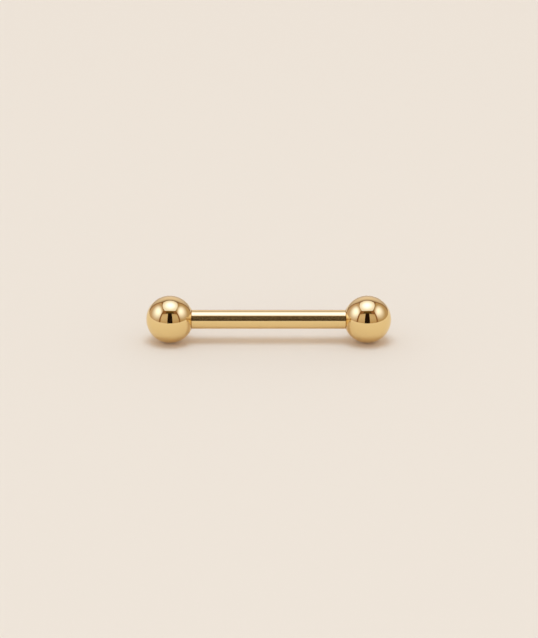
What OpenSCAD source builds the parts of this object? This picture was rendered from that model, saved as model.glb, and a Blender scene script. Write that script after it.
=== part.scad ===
// A straight barbell for a nipple piercing: a round post with a screw-in ball at each end.
// It lies on its two balls. The post runs along X, and Z = 0 is the surface under it, below its middle.

/* [Post] */
// Diameter of the post, 1.6 being 14 gauge
post_d = 1.6; // [1.5:0.1:2.5]
// Length of post between the balls, the size that a barbell is sold by
wear_length = 13; // [8:0.5:25]
// Thickness of the post's wall around each threaded bore
post_wall = 0.2; // [0.15:0.05:0.25]

/* [Balls] */
// Diameter of each ball
ball_d = 4; // [3.5:0.5:8]
// Depth that the post's end sinks into its seat in the ball
seat_depth = 0.25; // [0.15:0.05:0.4]

/* [Thread] */
// Advance of a ball for one turn
thread_pitch = 0.25; // [0.2:0.05:0.3]
// Length of the stud that stands out of the seat
stud_length = 2.4; // [1.6:0.1:3.4]

/* [Fits] */
// Radial gap between the stud's thread and its bore
thread_gap = 0.03; // [0.02:0.01:0.05]
// Gap around and behind the post's end in its seat
seat_gap = 0.02; // [0.02:0.01:0.05]

/* [Hidden] */
$fn = 96;

// Widths of the small bevels on the post's ends, the bore's mouth, the seat's rim and the stud's tip
post_bevel = 0.1;
mouth_bevel = 0.04;
rim_bevel = 0.03;
tip_bevel = 0.12;

post_r = post_d / 2;
ball_r = ball_d / 2;
bore_r = post_r - post_wall;
seat_r = post_r + seat_gap;

// The rim is the circle where the seat's bevel leaves the ball, and the seat is measured from it
rim_r = seat_r + rim_bevel;
rim_height = sqrt(pow(ball_r, 2) - pow(rim_r, 2));
seat_floor = rim_height - seat_depth;
ball_x = wear_length / 2 + rim_height;
post_length = wear_length + 2 * (seat_depth - seat_gap);

// A 60 degree thread, drawn as rings: its depth, and the widths of its flanks and of its flat crest
crest_r = bore_r - thread_gap;
thread_depth = 0.61 * thread_pitch;
root_r = crest_r - thread_depth;
flank_width = thread_depth * tan(30);
crest_width = thread_pitch / 8;
neck_length = seat_depth;
thread_rings = floor((stud_length - neck_length - tip_bevel) / thread_pitch);

// The bore is deeper than the stud is long, by the room left under the stud's tip
tip_room = 0.3;
bore_depth = stud_length + tip_room;

// How far a cutting shape runs out past the metal
cut = 1;

// Degrees that a ball is turned about its stud. It doesn't show, but a ball's mesh then has a flat
// face straight below it and not a corner, so that the barbell lies still.
rest_turn = 2;

// Radius and height of one ring's corners, from the end nearer the ball
ring_corners = [
    [root_r, 0],
    [crest_r, flank_width],
    [crest_r, flank_width + crest_width],
    [root_r, 2 * flank_width + crest_width],
];

// A round bar about Z, centred, with both of its rims bevelled
module bevelled_bar(r, length, bevel) {
    end = length / 2;
    rotate_extrude()
        polygon([
            [0, -end],
            [r - bevel, -end],
            [r, bevel - end],
            [r, end - bevel],
            [r - bevel, end],
            [0, end],
        ]);
}

// The blind, flat-bottomed hole for a stud, going down from its mouth at Z = 0
module stud_bore() {
    translate([0, 0, -bore_depth])
        cylinder(r = bore_r, h = bore_depth + cut);
    translate([0, 0, -mouth_bevel])
        cylinder(r1 = bore_r, r2 = bore_r + mouth_bevel + cut, h = mouth_bevel + cut);
}

// The stud that screws into the post, standing on Z = 0 and rooted in the ball below
module threaded_stud() {
    rotate_extrude()
        polygon(concat(
            [[0, -seat_depth], [root_r, -seat_depth]],
            [
                for (ring = [0 : thread_rings - 1], corner = ring_corners)
                    corner + [0, neck_length + ring * thread_pitch]
            ],
            [[root_r, stud_length - tip_bevel], [root_r - tip_bevel, stud_length], [0, stud_length]]
        ));
}

// A ball with its seat and stud on +Z, centred on its own middle
module screw_ball() {
    difference() {
        sphere(r = ball_r);
        translate([0, 0, seat_floor])
            cylinder(r = seat_r, h = ball_r);
        translate([0, 0, rim_height - rim_bevel])
            cylinder(r1 = seat_r, r2 = seat_r + rim_bevel + cut, h = rim_bevel + cut);
    }
    translate([0, 0, seat_floor])
        threaded_stud();
}

module post() {
    color("gold")
        translate([0, 0, ball_r])
            rotate([0, 90, 0])
                difference() {
                    bevelled_bar(post_r, post_length, post_bevel);
                    for (end = [0, 1])
                        mirror([0, 0, end])
                            translate([0, 0, post_length / 2])
                                stud_bore();
                }
}

// The ball on the right-hand end, with its stud pointing back into the post
module right_ball() {
    color("goldenrod")
        translate([ball_x, 0, ball_r])
            rotate([rest_turn, 0, 0])
                rotate([0, -90, 0])
                    screw_ball();
}

module left_ball() {
    mirror([1, 0, 0])
        right_ball();
}

post();
left_ball();  // ball_left
right_ball();  // ball_right
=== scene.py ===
# %% [markdown]
# A straight barbell for a piercing: a slim round post with a larger ball screwed on each end, all
# of it mirror-polished and gold in colour. It lies on a pale surface under big, soft studio lights.
#
# Its sizes come from a imported model, which is loaded first and never moved. Everything made here is
# measured from it, in metres and in the same frame: X along the post, Z up, and the surface at Z = 0.
# The imported box is kept.

# %% Load the imported model
import math

import bpy
import numpy as np
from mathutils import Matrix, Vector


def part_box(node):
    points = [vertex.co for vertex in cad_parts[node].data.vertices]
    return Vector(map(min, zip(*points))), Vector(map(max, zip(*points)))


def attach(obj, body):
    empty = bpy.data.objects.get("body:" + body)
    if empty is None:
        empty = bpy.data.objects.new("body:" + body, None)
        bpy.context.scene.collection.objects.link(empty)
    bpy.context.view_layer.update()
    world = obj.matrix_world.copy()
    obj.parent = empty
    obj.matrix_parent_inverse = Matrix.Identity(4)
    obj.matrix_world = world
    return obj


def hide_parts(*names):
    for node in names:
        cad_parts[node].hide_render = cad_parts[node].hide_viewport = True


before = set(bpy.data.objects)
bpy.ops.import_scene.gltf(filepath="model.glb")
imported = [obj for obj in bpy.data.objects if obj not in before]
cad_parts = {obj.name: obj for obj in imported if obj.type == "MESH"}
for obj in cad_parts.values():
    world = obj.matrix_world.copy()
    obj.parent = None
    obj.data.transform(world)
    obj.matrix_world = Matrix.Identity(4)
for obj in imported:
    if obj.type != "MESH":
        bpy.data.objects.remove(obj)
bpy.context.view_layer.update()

MM = 0.001

# %% [markdown]
# The real barbell has few sizes: the balls' and the post's radii, how far apart the balls are, and
# where the post and the studs end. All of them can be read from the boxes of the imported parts. The
# boxes belong to meshes with small flat faces, so each size is rounded to a hundredth of a millimetre.

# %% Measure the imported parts


def sized(length):
    """A length in metres, rounded to a hundredth of a millimetre."""
    return round(length, 5)


ball_low, ball_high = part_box("ball_right")
post_low, post_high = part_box("post")
ball_r = sized((ball_high[2] - ball_low[2]) / 2)
ball_x = sized(ball_high[0] - ball_r)
stud_tip_x = sized(ball_low[0])
post_r = sized((post_high[2] - post_low[2]) / 2)
post_end_x = sized(post_high[0])
axis_z = ball_r
print(f"ball radius {ball_r / MM:.2f} mm at x {ball_x / MM:.2f}, post radius {post_r / MM:.2f} mm to "
      f"x {post_end_x / MM:.2f}, stud tip at x {stud_tip_x / MM:.2f} mm")

# %% [markdown]
# A barbell is turned on a lathe, so every part of it is a profile spun about the post's axis. In
# Blender that could be a Spin or a Screw modifier on an edge, or a ready-made cylinder and sphere.
# Here the turned surface is worked out as one array of points, for two reasons. Mirror-polished metal
# shows the smallest fault in a mesh as a bent reflection, so the rings are put just where the
# curvature needs them. And a thread isn't quite a turned shape: its radius also changes round each
# ring, which a spun edge can't do and a formula can.

# %% Turn a profile about the post's axis
SEGMENTS = 160
angles = np.arange(SEGMENTS) * 2 * np.pi / SEGMENTS


def turned(name, x, radius):
    """A closed surface turned about the post's axis, from rings with a profile of x and radius.

    Point (ring, angle) is (x, r cos(angle), axis_z + r sin(angle)), where r is the ring's radius, or
    a row of radii, one for each angle. The first and the last rings are single points on the axis.
    The metal is on the right-hand side of the profile, as seen with x to the right and radius up.
    """
    r = np.broadcast_to(radius, (len(x), SEGMENTS))[1:-1]
    rings = np.stack([np.broadcast_to(x[1:-1, None], r.shape),
                      r * np.cos(angles),
                      axis_z + r * np.sin(angles)], axis=-1)
    points = np.concatenate([[[x[0], 0, axis_z]], rings.reshape(-1, 3), [[x[-1], 0, axis_z]]])

    here = 1 + np.arange(r.size).reshape(r.shape)
    beside = np.roll(here, -1, axis=1)
    walls = np.stack([here[:-1], beside[:-1], beside[1:], here[1:]], axis=-1).reshape(-1, 4)
    first = np.stack([np.zeros(SEGMENTS, int), beside[0], here[0]], axis=-1)
    last = np.stack([here[-1], beside[-1], np.full(SEGMENTS, len(points) - 1)], axis=-1)

    mesh = bpy.data.meshes.new(name)
    mesh.from_pydata(points.tolist(), [], walls.tolist() + first.tolist() + last.tolist())
    mesh.shade_smooth()
    piece = bpy.data.objects.new(name, mesh)
    bpy.context.scene.collection.objects.link(piece)
    print(f"{name}: {len(x)} rings, {2 * len(walls) + 2 * SEGMENTS} triangles")
    return piece

# %% [markdown]
# Real edges are never quite sharp: a wheel or a barrel of polishing stones rounds them by a few
# hundredths of a millimetre, and the rounding is what catches the light. So a profile is drawn with
# sharp corners first, and each corner is then swapped for a short curve. The two extra points beside
# each curve keep the rounding from leaking into the straight stretches, which would bend what the
# long straight post mirrors. For the same reason a flat end gets one more ring just inside its edge.

# %% Round the corners of a profile
ROUND_STEPS = np.linspace(0, 1, 6)
FLAT_RING = 0.9


def rounded(corners, cuts):
    """A profile through the corners, with each inner corner swapped for a curve.

    The curve starts and ends at the corner's own cut length from it and is
    (1 - t)^2 start + 2 t (1 - t) corner + t^2 end. A point on either side of it, half a cut
    further off, holds the straight stretch.
    """
    corners = np.array(corners, float)
    t = ROUND_STEPS[:, None]
    profile = [corners[:1]]
    for before, corner, after, cut in zip(corners, corners[1:], corners[2:], cuts):
        back = (before - corner) / np.linalg.norm(before - corner)
        ahead = (after - corner) / np.linalg.norm(after - corner)
        start, end = corner + cut * back, corner + cut * ahead
        profile += [[start + cut / 2 * back],
                    (1 - t) ** 2 * start + 2 * t * (1 - t) * corner + t ** 2 * end,
                    [end + cut / 2 * ahead]]
    profile.append(corners[-1:])
    return np.concatenate(profile)


def flat_end(radius):
    """The last two rings of a flat round end: one at a share of its radius, and the middle point."""
    return np.ones((2, SEGMENTS)) * [[FLAT_RING * radius], [0]]

# %% [markdown]
# The balls screw into the post, so each stud carries a fine thread and each end of the post holds its
# counterpart. It could be modelled as a swept triangle, but cut into a surface of rings a thread is
# only a rule for the radius: along the axis the radius swings once for each pitch, and the swing moves
# on by one pitch for each turn. A cosine that is 0.61 of the pitch deep has flanks about as steep as
# a metric thread's, with the rounded crests and roots that a rolled one has. The same rule serves the
# studs and the bores on both ends, so all of them are right-handed and each ridge lies in the other's
# groove.
#
# A box only gives outside sizes. The inside ones, here and below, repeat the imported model's own.

# %% Cut the thread
thread_pitch = 0.25 * MM
thread_depth = 0.61 * thread_pitch
thread_gap = 0.03 * MM
post_wall = 0.2 * MM
bore_r = post_r - post_wall
stud_root_r = bore_r - thread_gap - thread_depth
RINGS_PER_PITCH = 16
ring_step = thread_pitch / RINGS_PER_PITCH


def thread_ridge(x):
    """How high the thread stands at each x and angle: 0 in a groove and 1 on a ridge.

    It is a half plus half the cosine of a whole turn for each pitch along x, less the angle.
    """
    return 0.5 + 0.5 * np.cos(2 * np.pi * x[:, None] / thread_pitch - angles)


def rings_between(start, end):
    """Evenly spaced places from start to end, close enough together for the thread."""
    return np.linspace(start, end, math.ceil(abs(end - start) / ring_step) + 1)


print(f"thread: {2 * (bore_r - thread_gap) / MM:.2f} mm across, {thread_depth / MM:.3f} mm deep")

# %% [markdown]
# Each ball is turned from one piece with its stud. Seen from outside in, it is a sphere, a small
# polished rim, a shallow seat that hides the post's end, and the stud: a plain neck as long as the
# seat is deep, the thread, and a tapered tip that finds the hole. The sphere's rings are at even
# angles, which keeps its reflections as round as on a real ball, where a globe of squares would show
# corners.
#
# Depth is measured from the ball's middle towards the post. The left ball isn't a mirror image of
# the right one, because that would make its thread left-handed: its profile is turned round, and the
# thread is cut afterwards.

# %% Shape the balls
seat_gap = 0.02 * MM
seat_depth = 0.25 * MM
rim_bevel = 0.03 * MM
tip_taper = 0.12 * MM
SPHERE_RINGS = 150
seat_r = post_r + seat_gap
rim_depth = math.sqrt(ball_r ** 2 - (seat_r + rim_bevel) ** 2)
seat_floor = rim_depth - seat_depth
neck_end = seat_floor + seat_depth
tip_depth = ball_x - stud_tip_x


def ball_shell():
    """The profile of depth and radius from the ball's far pole to the end of the stud's neck.

    Sphere: depth = -R cos(a), radius = R sin(a), up to where the rim's rounding needs room.
    """
    sphere_end_r = seat_r + 3 * rim_bevel
    a = np.linspace(0, math.pi - math.asin(sphere_end_r / ball_r), SPHERE_RINGS)
    sphere = np.stack([-np.cos(a), np.sin(a)], axis=-1) * ball_r
    rim = [math.sqrt(ball_r ** 2 - seat_r ** 2), seat_r]
    seat = rounded([sphere[-1], rim, [seat_floor, seat_r], [seat_floor, stud_root_r],
                    [neck_end, stud_root_r]], [rim_bevel, rim_bevel, rim_bevel])
    return np.concatenate([sphere, seat[1:]])


def ball_piece(name, side):
    """A ball with its seat and stud, at the right end of the post for side 1 and the left for -1.

    Stud: the radius is the root's plus the thread's ridge, faded in past the neck, and never over a
    cone at the tip. Reversed for the right ball, the profile has its metal on the right-hand side.
    """
    shell = ball_shell()
    depth = rings_between(neck_end, tip_depth)[1:]
    x = side * (ball_x - depth)
    fade = np.clip((depth - neck_end) / thread_pitch, 0, 1)[:, None]
    cone = (stud_root_r - tip_taper + tip_depth - depth)[:, None]
    stud = np.minimum(stud_root_r + thread_depth * fade * thread_ridge(x), cone)

    all_x = np.concatenate([side * (ball_x - shell[:, 0]), x, [side * stud_tip_x] * 2])
    all_r = np.concatenate([np.broadcast_to(shell[:, 1:], (len(shell), SEGMENTS)), stud,
                            flat_end(stud_root_r - tip_taper)])
    order = -side
    return turned(name, all_x[::order], all_r[::order])


ball_left = ball_piece("ball_left_polished", -1)
ball_right = ball_piece("ball_right_polished", 1)

# %% [markdown]
# The post is a bar with a threaded blind hole in each end. It is one closed skin, drawn as one
# profile: from the middle of the left hole's floor, out along its thread, round the end, along the
# outside, and the same way in at the other end. The holes could be cut with a Boolean, but that
# leaves long thin faces round the rims, just where the polish shows them.

# %% Shape the post
bore_depth = 2.7 * MM
post_bevel = 0.1 * MM
mouth_bevel = 0.04 * MM
edge_round = 0.03 * MM
straight_end = 1 * MM
bore_bottom_x = post_end_x - bore_depth
bore_root_r = stud_root_r + thread_gap
mouth_r = bore_r + mouth_bevel


def bore_radius(x, side):
    """The hole's radius at each angle and distance x from the post's middle, on the side 1 or -1.

    It is the stud's radius plus the gap all round it. Past the stud's tip the thread fades out over
    one pitch, and the countersink is a cone that the radius never falls below.
    """
    fade = np.clip((x - stud_tip_x) / thread_pitch + 1, 0, 1)[:, None]
    cone = (mouth_r - (post_end_x - x))[:, None]
    return np.maximum(bore_root_r + thread_depth * fade * thread_ridge(side * x), cone)


def post_piece(name):
    """The whole post: its right half, and the left half with x turned round and in reverse order."""
    outside = rounded([[post_end_x - straight_end, post_r], [post_end_x - post_bevel, post_r],
                       [post_end_x, post_r - post_bevel], [post_end_x, mouth_r]],
                      [edge_round, edge_round])
    plain = np.broadcast_to(outside[:, 1:], (len(outside), SEGMENTS))
    x = rings_between(post_end_x, bore_bottom_x)
    half_x = np.concatenate([outside[:, 0], x, [bore_bottom_x] * 2])
    right_r = np.concatenate([plain, bore_radius(x, 1), flat_end(bore_root_r)])
    left_r = np.concatenate([plain, bore_radius(x, -1), flat_end(bore_root_r)])
    return turned(name, np.concatenate([-half_x[::-1], half_x]), np.concatenate([left_r[::-1], right_r]))


post = post_piece("post_polished")

# %% [markdown]
# Polished gold looks flawless from arm's length, but a flat colour with one roughness looks like
# plastic wrap. Close up there are three things to see: faint cloudy patches left by fingers, hair
# lines left by the polishing wheel, and a painted shade: a deeper gold colour in the joint between
# ball and post, where little of the tent's light reaches. Each is a node group, because both kinds of
# piece use it with values of their own. A group only puts out a mask or a height. The shader itself
# stays in the material.

# %% Helpers for materials and groups


def new_material(name):
    """A material with nodes, and its node tree."""
    material = bpy.data.materials.new(name)
    material.use_nodes = True
    return material, material.node_tree


def new_group(name, inputs, output):
    """A node group with one vector input, named number inputs and one number output."""
    group = bpy.data.node_groups.new(name, "ShaderNodeTree")
    group.interface.new_socket("Vector", in_out="INPUT", socket_type="NodeSocketVector")
    for socket in inputs:
        group.interface.new_socket(socket, in_out="INPUT", socket_type="NodeSocketFloat")
    group.interface.new_socket(output, in_out="OUTPUT", socket_type="NodeSocketFloat")
    return group, group.nodes.new("NodeGroupInput"), group.nodes.new("NodeGroupOutput")

# %% Helpers for single nodes


def set_values(node, values):
    """Sets the node's own value of each named input."""
    for socket, value in values.items():
        node.inputs[socket].default_value = value


def add(tree, kind, values=None, **settings):
    """A new node of this kind, with its settings and then its inputs' own values."""
    node = tree.nodes.new(kind)
    for name, setting in settings.items():
        setattr(node, name, setting)
    set_values(node, values or {})
    return node


def smooth_fall(tree, reach=1):
    """A node that gives 1 at 0 and falls smoothly to 0 at the reach."""
    return add(tree, "ShaderNodeMapRange", {"From Max": reach, "To Min": 1, "To Max": 0},
               interpolation_type="SMOOTHSTEP")


def wire(tree, *pairs):
    """Links each (from socket, to socket) pair."""
    for source, target in pairs:
        tree.links.new(source, target)

# %% [markdown]
# Finger marks and polishing lines could be painted on, but nobody looks for one certain mark, and
# noise gives endless different ones at any size. The two differ in how the noise is used: its high
# patches alone for the haze, and the whole of it, stretched across the axis, for the lines.

# %% Make the cloudy patches and the fine lines


def finger_haze_group():
    """Soft noise, cut so that only its higher patches show: 0 on clean metal, 1 in a patch.

    Fineness is one over the size of a patch, in metres.
    """
    group, given, result = new_group("finger_haze", ["Fineness"], "Haze")
    noise = add(group, "ShaderNodeTexNoise", {"Detail": 3, "Roughness": 0.6})
    patches = add(group, "ShaderNodeMapRange", {"From Min": 0.45, "From Max": 0.75},
                  interpolation_type="SMOOTHSTEP")
    wire(group, (given.outputs["Vector"], noise.inputs["Vector"]),
         (given.outputs["Fineness"], noise.inputs["Scale"]),
         (noise.outputs["Fac"], patches.inputs["Value"]),
         (patches.outputs["Result"], result.inputs["Haze"]))
    return group


def polishing_lines_group():
    """Noise left fine along the axis and drawn out across it, which leaves thin rings of height.

    Fineness is one over the width of a ring, in metres.
    """
    group, given, result = new_group("polishing_lines", ["Fineness"], "Height")
    draw_out = add(group, "ShaderNodeMapping", {"Scale": (1, 0.06, 0.06)})
    noise = add(group, "ShaderNodeTexNoise", {"Detail": 2})
    wire(group, (given.outputs["Vector"], draw_out.inputs["Vector"]),
         (draw_out.outputs["Vector"], noise.inputs["Vector"]),
         (given.outputs["Fineness"], noise.inputs["Scale"]),
         (noise.outputs["Fac"], result.inputs["Height"]))
    return group


finger_haze = finger_haze_group()
polishing_lines = polishing_lines_group()
print("groups:", finger_haze.name, "and", polishing_lines.name)

# %% [markdown]
# The shade in the joint is painted into the metal's colour. An Ambient Occlusion node would darken any
# narrow gap by itself, but a gap opens when its ball is unscrewed, while this painted shade stays in
# the metal. The joint is a circle round the post, so the distance along X is all that has to be
# measured.

# %% Paint the shade in the joint


def painted_joint_shade_group():
    """A mask for the painted shade in the joint: 1 at the joints' distance from the barbell's middle
    along X, falling smoothly to 0 beside it.
    """
    group, given, result = new_group("painted_joint_shade", ["Joint X", "Width"], "Shade")
    split = add(group, "ShaderNodeSeparateXYZ")
    from_middle = add(group, "ShaderNodeMath", operation="ABSOLUTE")
    from_joint = add(group, "ShaderNodeMath", operation="SUBTRACT")
    distance = add(group, "ShaderNodeMath", operation="ABSOLUTE")
    joint_shade_mask = smooth_fall(group)
    wire(group, (given.outputs["Vector"], split.inputs["Vector"]),
         (split.outputs["X"], from_middle.inputs[0]),
         (from_middle.outputs[0], from_joint.inputs[0]),
         (given.outputs["Joint X"], from_joint.inputs[1]),
         (from_joint.outputs[0], distance.inputs[0]),
         (distance.outputs[0], joint_shade_mask.inputs["Value"]),
         (given.outputs["Width"], joint_shade_mask.inputs["From Max"]),
         (joint_shade_mask.outputs["Result"], result.inputs["Shade"]))
    return group


painted_joint_shade = painted_joint_shade_group()
print("group:", painted_joint_shade.name)

# %% [markdown]
# Gold's colour is its reflection: it has no body colour under the shine, so the shader is fully
# metallic and its base colour is the share of red, green and blue light that gold mirrors head-on.
# Towards grazing angles every metal turns whiter, which the shader does by itself. The haze only
# moves the roughness by a few hundredths, and the lines are less than a thousandth of a millimetre
# high, enough to soften a highlight's edge and no more.
#
# The balls are tumbled in a barrel until they mirror evenly. The post spins in a lathe against a
# cloth, and keeps rings that are too fine to draw one by one. They smear what it mirrors along the
# post and leave it sharp round it, so its dark band is a deep brown with crisp edges, where the
# balls show the same dark slot as nearly black. A shader has a value for that, anisotropy, which
# only needs to be told which way is round the post.

# %% Mix the gold
GOLD = (0.89, 0.672, 0.32, 1)
# Painted shade: the joint is coloured this darker gold, over the painted shade's width.
JOINT_SHADE_GOLD = (0.50, 0.29, 0.10, 1)
QUARTER_TURN = 0.25
joint_x = ball_x - rim_depth
painted_joint_shade_width = 0.08 * MM


def polished_gold(name, clean, hazy, haze_size, line_size, line_height, stretch=0):
    """Gold with its own polish: how rough it is where clean and hazy, and how its lines run.

    Stretch, from 0 to 1, is how much more the finest lines smear a reflection along the axis than
    round it.
    """
    material, tree = new_material(name)
    shader = tree.nodes["Principled BSDF"]
    set_values(shader, {"Metallic": 1})
    place = add(tree, "ShaderNodeTexCoord").outputs["Object"]
    haze = add(tree, "ShaderNodeGroup", {"Fineness": 1 / haze_size}, node_tree=finger_haze)
    roughness = add(tree, "ShaderNodeMapRange", {"To Min": clean, "To Max": hazy})
    lines = add(tree, "ShaderNodeGroup", {"Fineness": 1 / line_size}, node_tree=polishing_lines)
    bump = add(tree, "ShaderNodeBump", {"Strength": 1, "Distance": line_height})
    # Painted shade: the base colour turns to the darker gold round each joint.
    joint_shade_mask = add(tree, "ShaderNodeGroup", {"Joint X": joint_x, "Width": painted_joint_shade_width},
               node_tree=painted_joint_shade)
    colour = add(tree, "ShaderNodeMix", {"A": GOLD, "B": JOINT_SHADE_GOLD}, data_type="RGBA")
    wire(tree, (place, haze.inputs["Vector"]), (place, lines.inputs["Vector"]),
         (place, joint_shade_mask.inputs["Vector"]),
         (haze.outputs["Haze"], roughness.inputs["Value"]),
         (roughness.outputs["Result"], shader.inputs["Roughness"]),
         (lines.outputs["Height"], bump.inputs["Height"]),
         (bump.outputs["Normal"], shader.inputs["Normal"]),
         (joint_shade_mask.outputs["Shade"], colour.inputs["Factor"]),
         (colour.outputs["Result"], shader.inputs["Base Color"]))
    if stretch:
        set_values(shader, {"Anisotropic": stretch, "Anisotropic Rotation": QUARTER_TURN})
        round_axis = add(tree, "ShaderNodeTangent", direction_type="RADIAL", axis="X")
        wire(tree, (round_axis.outputs["Tangent"], shader.inputs["Tangent"]))
    return material


ball_gold = polished_gold("gold_ball_polish", clean=0.04, hazy=0.09, haze_size=1.2 * MM,
                          line_size=0.05 * MM, line_height=0.00002 * MM)
post_gold = polished_gold("gold_post_polish", clean=0.135, hazy=0.15, haze_size=1.5 * MM,
                          line_size=0.03 * MM, line_height=0.0003 * MM, stretch=1)
print("gold:", ball_gold.name, "and", post_gold.name)

# %% [markdown]
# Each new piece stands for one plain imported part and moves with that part's body, so that a ball that
# is unscrewed takes its stud with it. On this barbell a part and its body have the same name.

# %% Put the pieces on their bodies
for piece, part, gold in [(post, "post", post_gold), (ball_left, "ball_left", ball_gold),
                          (ball_right, "ball_right", ball_gold)]:
    piece.data.materials.append(gold)
    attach(piece, part)
    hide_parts(part)
    print(f"{piece.name} rides on {part}")

# %% [markdown]
# The barbell lies on a plain pale surface, such as a sheet of cream card. Where the metal doesn't
# mirror a light it mirrors this card, so its tone matters as much as the gold's. It is matt, with
# a trace of paper grain that is too fine to draw the eye.
#
# One function makes this sheet and all the cloths further on. Most of them are plain rectangles, and
# one has soft corners.

# %% Make a flat sheet


def flat_sheet(name, middle, across, up, roundness=(0, 0), steps=1):
    """A flat sheet: point (u, v) is middle + a across + b up, for u and v from -1 to 1.

    For roundness 0, a is u and b is v, which fills a rectangle. For roundness 1, a is
    u sqrt(1 - v^2 / 2) and b is v sqrt(1 - u^2 / 2), which fills an ellipse. In between, the two
    are mixed, and the rectangle gets soft corners. The sheet's lower and upper halves, with v below
    and above 0, each have a roundness of their own.
    """
    u, v = np.meshgrid(np.linspace(-1, 1, steps + 1), np.linspace(-1, 1, steps + 1))
    soft = np.where(v < 0, roundness[0], roundness[1])
    a = u * (1 - soft + soft * np.sqrt(1 - v ** 2 / 2))
    b = v * (1 - soft + soft * np.sqrt(1 - u ** 2 / 2))
    points = np.array(middle) + np.stack([a.ravel(), b.ravel()], axis=-1) @ np.array([across, up], float)
    index = np.arange(u.size).reshape(u.shape)
    quads = np.stack([index[:-1, :-1], index[:-1, 1:], index[1:, 1:], index[1:, :-1]], axis=-1)
    mesh = bpy.data.meshes.new(name)
    mesh.from_pydata(points.tolist(), [], quads.reshape(-1, 4).tolist())
    sheet = bpy.data.objects.new(name, mesh)
    bpy.context.scene.collection.objects.link(sheet)
    return sheet

# %% Lay the surface


def card_paper(name, colour, grain):
    """Matt paper with a fine grain."""
    material, tree = new_material(name)
    shader = tree.nodes["Principled BSDF"]
    set_values(shader, {"Base Color": (*colour, 1), "Roughness": 0.9, "Specular IOR Level": 0.1})
    place = add(tree, "ShaderNodeTexCoord").outputs["Object"]
    fibres = add(tree, "ShaderNodeTexNoise", {"Scale": 1 / grain, "Detail": 4})
    bump = add(tree, "ShaderNodeBump", {"Strength": 0.15, "Distance": grain / 10})
    wire(tree, (place, fibres.inputs["Vector"]), (fibres.outputs["Fac"], bump.inputs["Height"]),
         (bump.outputs["Normal"], shader.inputs["Normal"]))
    return material


surface_half = 3.0
surface = flat_sheet("surface", (0, 0, 0), (surface_half, 0, 0), (0, surface_half, 0))
surface.data.materials.append(card_paper("cream_card", (0.84, 0.69, 0.54), grain=0.4 * MM))
print(f"surface: {2 * surface_half:.0f} m wide")

# %% [markdown]
# Small polished things are photographed in a light tent: pale cloth walls and a roof round the
# object, lit from outside, with a slot for the camera. A mirror shows all of it, so the tent is
# really what gives the gold its look. The dark slot makes the dark patch on each ball and the dark
# band along the post, the front flaps beside it make the dim bands, and the side walls and the roof
# make the highlights. Round lamps would be simpler, and would show as small white dots.
#
# Each cloth is a flat sheet that gives light: an even glow at its rim, and a brighter spot with a
# soft edge where the lamp behind it stands. Only what mirrors sees the cloth. It is hidden from the
# camera, lights nothing else and casts no shadow.

# %% Make the tent's cloth


def lamp_glow_group():
    """1 at the lamp's place, falling smoothly to 0 at its reach, which may differ along each axis."""
    group, given, result = new_group("lamp_glow", [], "Glow")
    for socket in ("Lamp", "Reach"):
        group.interface.new_socket(socket, in_out="INPUT", socket_type="NodeSocketVector")
    away = add(group, "ShaderNodeVectorMath", operation="SUBTRACT")
    share = add(group, "ShaderNodeVectorMath", operation="DIVIDE")
    length = add(group, "ShaderNodeVectorMath", operation="LENGTH")
    glow = smooth_fall(group)
    wire(group, (given.outputs["Vector"], away.inputs[0]), (given.outputs["Lamp"], away.inputs[1]),
         (away.outputs["Vector"], share.inputs[0]), (given.outputs["Reach"], share.inputs[1]),
         (share.outputs["Vector"], length.inputs[0]), (length.outputs["Value"], glow.inputs["Value"]),
         (glow.outputs["Result"], result.inputs["Glow"]))
    return group


lamp_glow = lamp_glow_group()
print("group:", lamp_glow.name)
ROUNDED_STEPS = 24


def tent_cloth(name, middle, across, up, rim, spot, lamp, reach, roundness=(0, 0)):
    """A glowing sheet, whose lamp is at a place on it.

    Rim and spot are the linear red, green and blue light far from the lamp and at it. Reach is how
    far the lamp's light falls off along X, Y and Z, in metres. Square to the sheet it has no effect.
    """
    material, tree = new_material(name + "_light")
    tree.nodes.remove(tree.nodes["Principled BSDF"])
    glow = add(tree, "ShaderNodeGroup", {"Lamp": lamp, "Reach": reach}, node_tree=lamp_glow)
    colour = add(tree, "ShaderNodeMix", {"A": (*rim, 1), "B": (*spot, 1)}, data_type="RGBA")
    light = add(tree, "ShaderNodeEmission")
    wire(tree, (add(tree, "ShaderNodeTexCoord").outputs["Object"], glow.inputs["Vector"]),
         (glow.outputs["Glow"], colour.inputs["Factor"]),
         (colour.outputs["Result"], light.inputs["Color"]),
         (light.outputs["Emission"], tree.nodes["Material Output"].inputs["Surface"]))
    sheet = flat_sheet(name, middle, across, up, roundness, steps=ROUNDED_STEPS if any(roundness) else 1)
    sheet.data.materials.append(material)
    sheet.visible_camera = sheet.visible_diffuse = sheet.visible_shadow = False
    return sheet

# %% [markdown]
# A mirror shows things by their direction, far more than by how far off they are, so the tent is laid
# out by directions as seen from the barbell. The roof begins about 60 degrees up, a little lower at
# the back. It is a small square with soft corners, the back ones rounder, and it hangs low: the two
# balls see it from slightly different sides, so that each highlight leans a little towards the middle.
#
# The angles, places and colours of all the cloths come from a reference photograph. A separate script
# fitted them by least squares to what both balls mirror there. They were then rounded, and some were
# changed after trial renders. So the values are measured ones, and aren't as even as chosen ones.

# %% Hang the roof
TENT_HALF = 0.45
ROOF_Z = 0.26


def rise(distance, degrees):
    """How far a thing reaches up, or sideways, that is this far off and seen at this angle."""
    return distance * math.tan(math.radians(degrees))


def run(height, degrees):
    """How far off a thing is, that reaches this far up, or sideways, and is seen at this angle."""
    return height / math.tan(math.radians(degrees))


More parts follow.
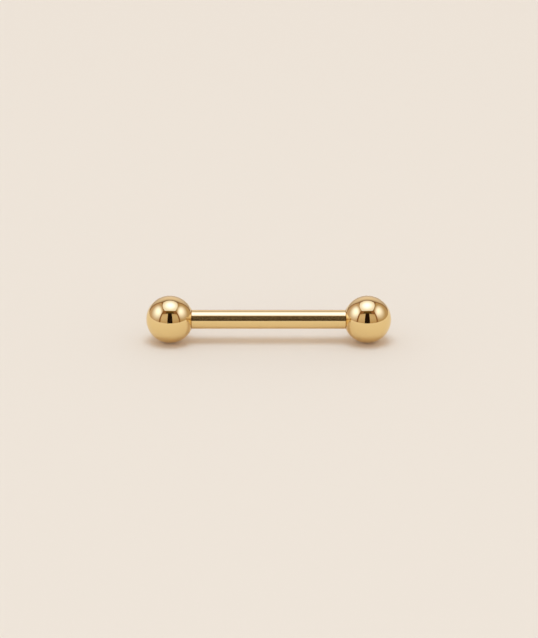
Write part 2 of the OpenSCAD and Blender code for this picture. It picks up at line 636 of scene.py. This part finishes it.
roof_front, roof_back, roof_side = run(ROOF_Z, 61.5), run(ROOF_Z, 57.5), run(ROOF_Z, 60.7)
roof_y = (roof_back - roof_front) / 2
tent_cloth("roof", (0, roof_y, ROOF_Z), (roof_side, 0, 0), (0, -(roof_front + roof_back) / 2, 0),
           rim=(0.96, 1.02, 1.25), spot=(1.75, 1.95, 3.2), lamp=(0, roof_y - 0.005, ROOF_Z),
           reach=(0.152, 0.152, 1), roundness=(0.70, 0.45))
print(f"roof: {2 * roof_side:.2f} m wide, {ROOF_Z:.2f} m up")

# %% [markdown]
# The side walls end just under the roof, at 60 degrees. The lamps behind them stand about 40 degrees
# up, where the cloth is brightest, and from there it fades to a warm dusk. In the reference the left
# and the right wall differ a little in place and tone, so each has values of its own.

# %% Put up the side walls
wall_top = rise(TENT_HALF, 60)


def side_wall(name, side, front_angle, lamp_y, lamp_z, rim, spot):
    """The right wall for side 1 and the left for -1, from the tent's back corner to its front edge.

    The front angle is how far that edge is turned from the way to the camera, as seen from the
    barbell. The lamp's y and z are its place on the wall.
    """
    front = -run(TENT_HALF, front_angle)
    tent_cloth(name, (side * TENT_HALF, (TENT_HALF + front) / 2, wall_top / 2),
               (0, (TENT_HALF - front) / 2, 0), (0, 0, wall_top / 2), rim=rim, spot=spot,
               lamp=(side * TENT_HALF, lamp_y, lamp_z), reach=(1, 0.44, 0.39))


side_wall("left_wall", side=-1, front_angle=54, lamp_y=-0.06, lamp_z=0.36,
          rim=(0.57, 0.44, 0.37), spot=(1.46, 1.73, 2.46))
side_wall("right_wall", side=1, front_angle=52, lamp_y=-0.08, lamp_z=0.39,
          rim=(0.51, 0.39, 0.27), spot=(1.39, 1.54, 2.12))
print(f"side walls: {2 * TENT_HALF:.2f} m apart, {wall_top:.2f} m high")

# %% [markdown]
# Two narrower cloths hang in front of the barbell, one on each side of the camera's slot. They end at
# about 47 degrees, and their lamps are weaker than the walls', so they are dimmer. The gap between
# them is what the gold mirrors as its dark patches, so the slot's edges set how wide the patches are.

# %% Put up the front flaps
FLAP_Y = -0.42


def front_flap(name, side, edge, slot_angle, top_angle, lamp_x, rim, spot):
    """The flap to the right of the slot for side 1, and to the left of it for -1.

    Edge is the x of its outer edge. As seen from the barbell, the slot angle is how far its inner
    edge is to the side, and the top angle how far its top is up.
    """
    slot_edge = side * rise(-FLAP_Y, slot_angle)
    top = rise(-FLAP_Y, top_angle)
    tent_cloth(name, ((edge + slot_edge) / 2, FLAP_Y, top / 2),
               (abs(edge - slot_edge) / 2, 0, 0), (0, 0, top / 2), rim=rim, spot=spot,
               lamp=(lamp_x, FLAP_Y, 0.27), reach=(0.75, 1, 0.43))


front_flap("left_flap", side=-1, edge=-0.436, slot_angle=12.7, top_angle=47.6, lamp_x=-0.25,
           rim=(0.50, 0.36, 0.24), spot=(0.69, 0.58, 0.48))
front_flap("right_flap", side=1, edge=0.422, slot_angle=12.4, top_angle=47.3, lamp_x=0.20,
           rim=(0.46, 0.30, 0.16), spot=(0.64, 0.54, 0.43))
print(f"front flaps: {-FLAP_Y:.2f} m in front of the barbell")

# %% [markdown]
# The back wall ends at about 55 degrees and doesn't reach the side walls, which leaves dim corners.
# Behind the slot hangs a nearly black curtain, which keeps the room out of the gold.

# %% Close the back and the slot
back_half, back_top = 0.37, rise(TENT_HALF, 55.5)
tent_cloth("back_wall", (0, TENT_HALF, back_top / 2), (back_half, 0, 0), (0, 0, back_top / 2),
           rim=(0.12, 0.08, 0.06), spot=(0.88, 0.80, 0.81), lamp=(0, TENT_HALF, 0.29),
           reach=(0.84, 1, 0.56))

CURTAIN_Y = -0.6
curtain_side, curtain_top = rise(-CURTAIN_Y, 28), rise(-CURTAIN_Y, 62)
tent_cloth("curtain", (0, CURTAIN_Y, curtain_top / 2), (curtain_side, 0, 0), (0, 0, curtain_top / 2),
           rim=(0.015, 0.008, 0.004), spot=(0.245, 0.152, 0.041), lamp=(0, CURTAIN_Y, curtain_top),
           reach=(2, 1, 0.57))
print(f"back wall: {back_top:.2f} m high, curtain {curtain_top:.2f} m")

# %% [markdown]
# The gold alone sees the tent. The surface has lights of its own, because its tone and the shadow's
# tone are then free to set. An even light from all round keeps the shadow pale. A glow along the
# horizon reaches in under the balls, so that only the spot where each one touches goes dark. How much
# comes from the even light, the glow and the soft lamp was fitted to the shadow in the reference
# photograph, also in a separate script, and then changed after trial renders.
#
# So the world is three things at once, and the Light Path node tells them apart. To the surface it is
# the even light and the glow. To the gold it is the dim brown room outside the tent, seen as thin
# lines where the cloths don't quite meet. To the camera, past the surface's far edge, it is a backdrop
# as pale as the surface. The image is shown with the plain Standard curve, so that a colour worked out
# in linear light comes out as meant.

# %% Light the surface from all round
SKY = (0.742, 0.727, 0.729, 1)
HORIZON = (1.71, 2.0, 2.17, 1)
GLOW_TOP = 0.5
ROOM = (0.272, 0.14, 0.068, 1)
BACKDROP = (0.855, 0.775, 0.687, 1)
world = bpy.data.worlds.new("studio")
bpy.context.scene.world = world
world.use_nodes = True
tree = world.node_tree
ray = add(tree, "ShaderNodeLightPath")
split = add(tree, "ShaderNodeSeparateXYZ")
glow = smooth_fall(tree, GLOW_TOP)
by_surface = add(tree, "ShaderNodeMix", {"A": SKY, "B": HORIZON}, data_type="RGBA")
by_gold = add(tree, "ShaderNodeMix", {"B": ROOM}, data_type="RGBA")
by_camera = add(tree, "ShaderNodeMix", {"B": BACKDROP}, data_type="RGBA")
wire(tree, (add(tree, "ShaderNodeTexCoord").outputs["Generated"], split.inputs["Vector"]),
     (split.outputs["Z"], glow.inputs["Value"]),
     (glow.outputs["Result"], by_surface.inputs["Factor"]),
     (by_surface.outputs["Result"], by_gold.inputs["A"]),
     (ray.outputs["Is Glossy Ray"], by_gold.inputs["Factor"]),
     (by_gold.outputs["Result"], by_camera.inputs["A"]),
     (ray.outputs["Is Camera Ray"], by_camera.inputs["Factor"]),
     (by_camera.outputs["Result"], tree.nodes["Background"].inputs["Color"]))
bpy.context.scene.view_settings.view_transform = "Standard"
print(f"world: the glow reaches {math.degrees(math.asin(GLOW_TOP)):.0f} degrees up")

# %% [markdown]
# One soft lamp overhead draws the shadow. Its size decides how soft the edge is, and it is cooler
# than the rest, so that what it doesn't reach looks warm. It hangs a little nearer the camera than
# the barbell, which sets the shadow slightly back.

# %% Hang the soft lamp
LAMP_PLACE = (0, -0.12, 1)
LAMP_SIZE = 0.5
LAMP_WATTS = 3.3
LAMP_COLOUR = (0.66, 0.985, 1.41)
lamp = bpy.data.objects.new("shadow_lamp", bpy.data.lights.new("shadow_lamp", "AREA"))
lamp.data.shape = "SQUARE"
lamp.data.size = LAMP_SIZE
lamp.data.energy = LAMP_WATTS
lamp.data.color = LAMP_COLOUR
lamp.location = LAMP_PLACE
lamp.visible_glossy = False
bpy.context.scene.collection.objects.link(lamp)
print(f"lamp: {LAMP_SIZE} m square, {LAMP_PLACE[2]} m up, {LAMP_WATTS} W")

# %% [markdown]
# The camera looks down at 20 degrees through the tent's slot, level and square to the post. It uses
# a long lens from half a metre away, so that the two balls are seen almost from the same side, as in
# a product photograph. The lens follows from how much of the scene the picture's long side takes in.
# The aim is a few hundredths of a millimetre off the post's middle, as the photographer's was.

# %% Place the camera
CAMERA_ELEVATION = math.radians(20)
CAMERA_DISTANCE = 0.5
FIELD_LONG_SIDE = 53.68 * MM
SENSOR = 36
aim = np.array([0.028 * MM, 0, axis_z + 0.026 * MM])
camera = bpy.data.objects.new("camera", bpy.data.cameras.new("camera"))
camera.data.sensor_width = SENSOR
camera.data.lens = SENSOR * CAMERA_DISTANCE / FIELD_LONG_SIDE
camera.data.clip_start = 0.01
camera.data.clip_end = 20
camera.location = aim + CAMERA_DISTANCE * np.array([0, -math.cos(CAMERA_ELEVATION),
                                                    math.sin(CAMERA_ELEVATION)])
camera.rotation_euler = (math.pi / 2 - CAMERA_ELEVATION, 0, 0)
bpy.context.scene.collection.objects.link(camera)
bpy.context.scene.camera = camera
print(f"camera: {CAMERA_DISTANCE} m away with a {camera.data.lens:.0f} mm lens")
